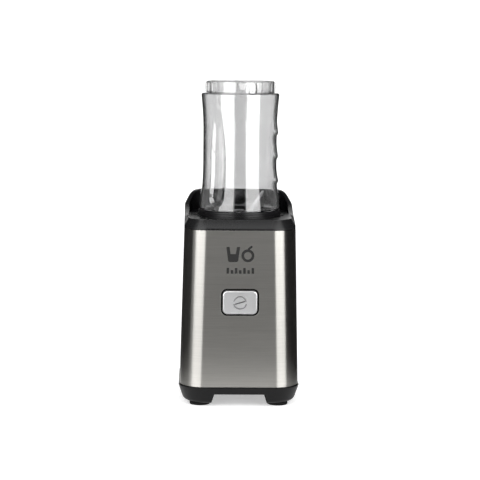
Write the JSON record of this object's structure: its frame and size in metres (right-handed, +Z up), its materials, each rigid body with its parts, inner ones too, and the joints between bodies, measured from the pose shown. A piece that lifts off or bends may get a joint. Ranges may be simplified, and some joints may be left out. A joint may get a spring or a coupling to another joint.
{
  "type": "countertop blender",
  "caption": "Personal countertop blender: a clear inverted bottle on a bladed holder, set in the collar of a square steel-clad motor base with a front push button.",
  "frame": {"origin": "centre of the footprint, on the surface the feet stand on", "axes": "+Z up, the push button faces -Y, +X is the user's right"},
  "size_m": [0.122, 0.122, 0.3259],
  "materials": {
    "clear_bottle": "clear injection-moulded copolyester, glossy",
    "gloss_black": "glossy black moulding",
    "satin_black": "fine-textured black moulding",
    "brushed_steel": "horizontally brushed stainless steel",
    "silver_button": "satin silver finish with a polished edge",
    "rubber_black": "matt black rubber",
    "silicone": "translucent silicone",
    "blade_steel": "ground stainless steel",
    "laminations": "stacked electrical steel, varnished",
    "copper_wire": "enamelled copper wire",
    "bronze": "sintered bronze and brass",
    "zinc_steel": "zinc-plated steel",
    "carbon": "pressed carbon",
    "nylon": "natural glass-filled nylon",
    "board_green": "soldermask over glass epoxy",
    "film_yellow": "potted film capacitor case",
    "lead_white": "PVC wire insulation"
  },
  "bodies": {
    "base": {"base_housing": "satin_black", "steel_sleeve": "brushed_steel", "collar": "gloss_black", "shaft_seal": "rubber_black", "cord_gland": "rubber_black", "air_duct": "satin_black", "button_guide": "satin_black", "power_switch": "satin_black", "interlock_bracket": "zinc_steel", "interlock_switch": "satin_black", "stator_core": "laminations", "field_coil_left": "copper_wire", "field_coil_right": "copper_wire", "upper_bracket": "zinc_steel", "lower_bracket": "nylon", "upper_bearing": "zinc_steel", "lower_bearing": "bronze", "brush_left": "carbon", "brush_right": "carbon", "brush_holder_left": "bronze", "brush_holder_right": "bronze", "control_board": "board_green", "suppression_capacitor": "film_yellow", "mains_lead": "lead_white", "switch_lead": "lead_white", "motor_lead": "lead_white", "foot_front_left": "rubber_black", "base_screw_front_left": "zinc_steel", "foot_front_right": "rubber_black", "base_screw_front_right": "zinc_steel", "foot_rear_right": "rubber_black", "base_screw_rear_right": "zinc_steel", "foot_rear_left": "rubber_black", "base_screw_rear_left": "zinc_steel", "motor_bolt_1": "zinc_steel", "motor_bolt_2": "zinc_steel", "motor_mount_1": "rubber_black", "motor_mount_2": "rubber_black", "motor_mount_3": "rubber_black"},
    "button": {"power_button": "silver_button", "button_spring": "zinc_steel"},
    "interlock": {"interlock_pin": "satin_black", "interlock_spring": "zinc_steel"},
    "rotor": {"motor_shaft": "zinc_steel", "armature_core": "laminations", "armature_winding": "copper_wire", "commutator": "copper_wire", "fan": "nylon", "drive_coupling": "satin_black"},
    "cup": {"blade_holder": "gloss_black", "holder_gasket": "silicone", "blade_bush": "bronze", "blade_seal": "silicone"},
    "blades": {"blade_shaft": "blade_steel", "drive_dog": "satin_black", "blade_spacer": "blade_steel", "lower_blade": "blade_steel", "upper_blade": "blade_steel", "blade_nut": "blade_steel"},
    "bottle": {"bottle": "clear_bottle"}
  },
  "joints": [
    {"name": "button_press", "type": "slide", "parent": "base", "child": "button", "axis": [0, 1, 0], "range_m": [0, 0.0025], "stiffness_N_per_m": 900, "springref_m": -0.0005, "deforming": ["button_spring"]},
    {"name": "interlock_press", "type": "slide", "parent": "base", "child": "interlock", "axis": [0, 0, -1], "range_m": [0, 0.003], "stiffness_N_per_m": 400, "springref_m": -0.0005, "deforming": ["interlock_spring"]},
    {"name": "rotor_spin", "type": "hinge", "parent": "base", "child": "rotor", "pos_m": [0, 0, 0.12], "axis": [0, 0, 1], "continuous": true},
    {"name": "cup_lift", "type": "slide", "parent": "base", "child": "cup", "axis": [0, 0, 1], "range_m": [0, 0.09]},
    {"name": "blade_spin", "type": "hinge", "parent": "cup", "child": "blades", "pos_m": [0, 0, 0.19], "axis": [0, 0, 1], "continuous": true},
    {"name": "bottle_lift", "type": "slide", "parent": "cup", "child": "bottle", "axis": [0, 0, 1], "range_m": [0, 0.06]}
  ],
  "couplings": [
    {"joint": "blade_spin", "follows": "rotor_spin", "ratio": 1}
  ]
}
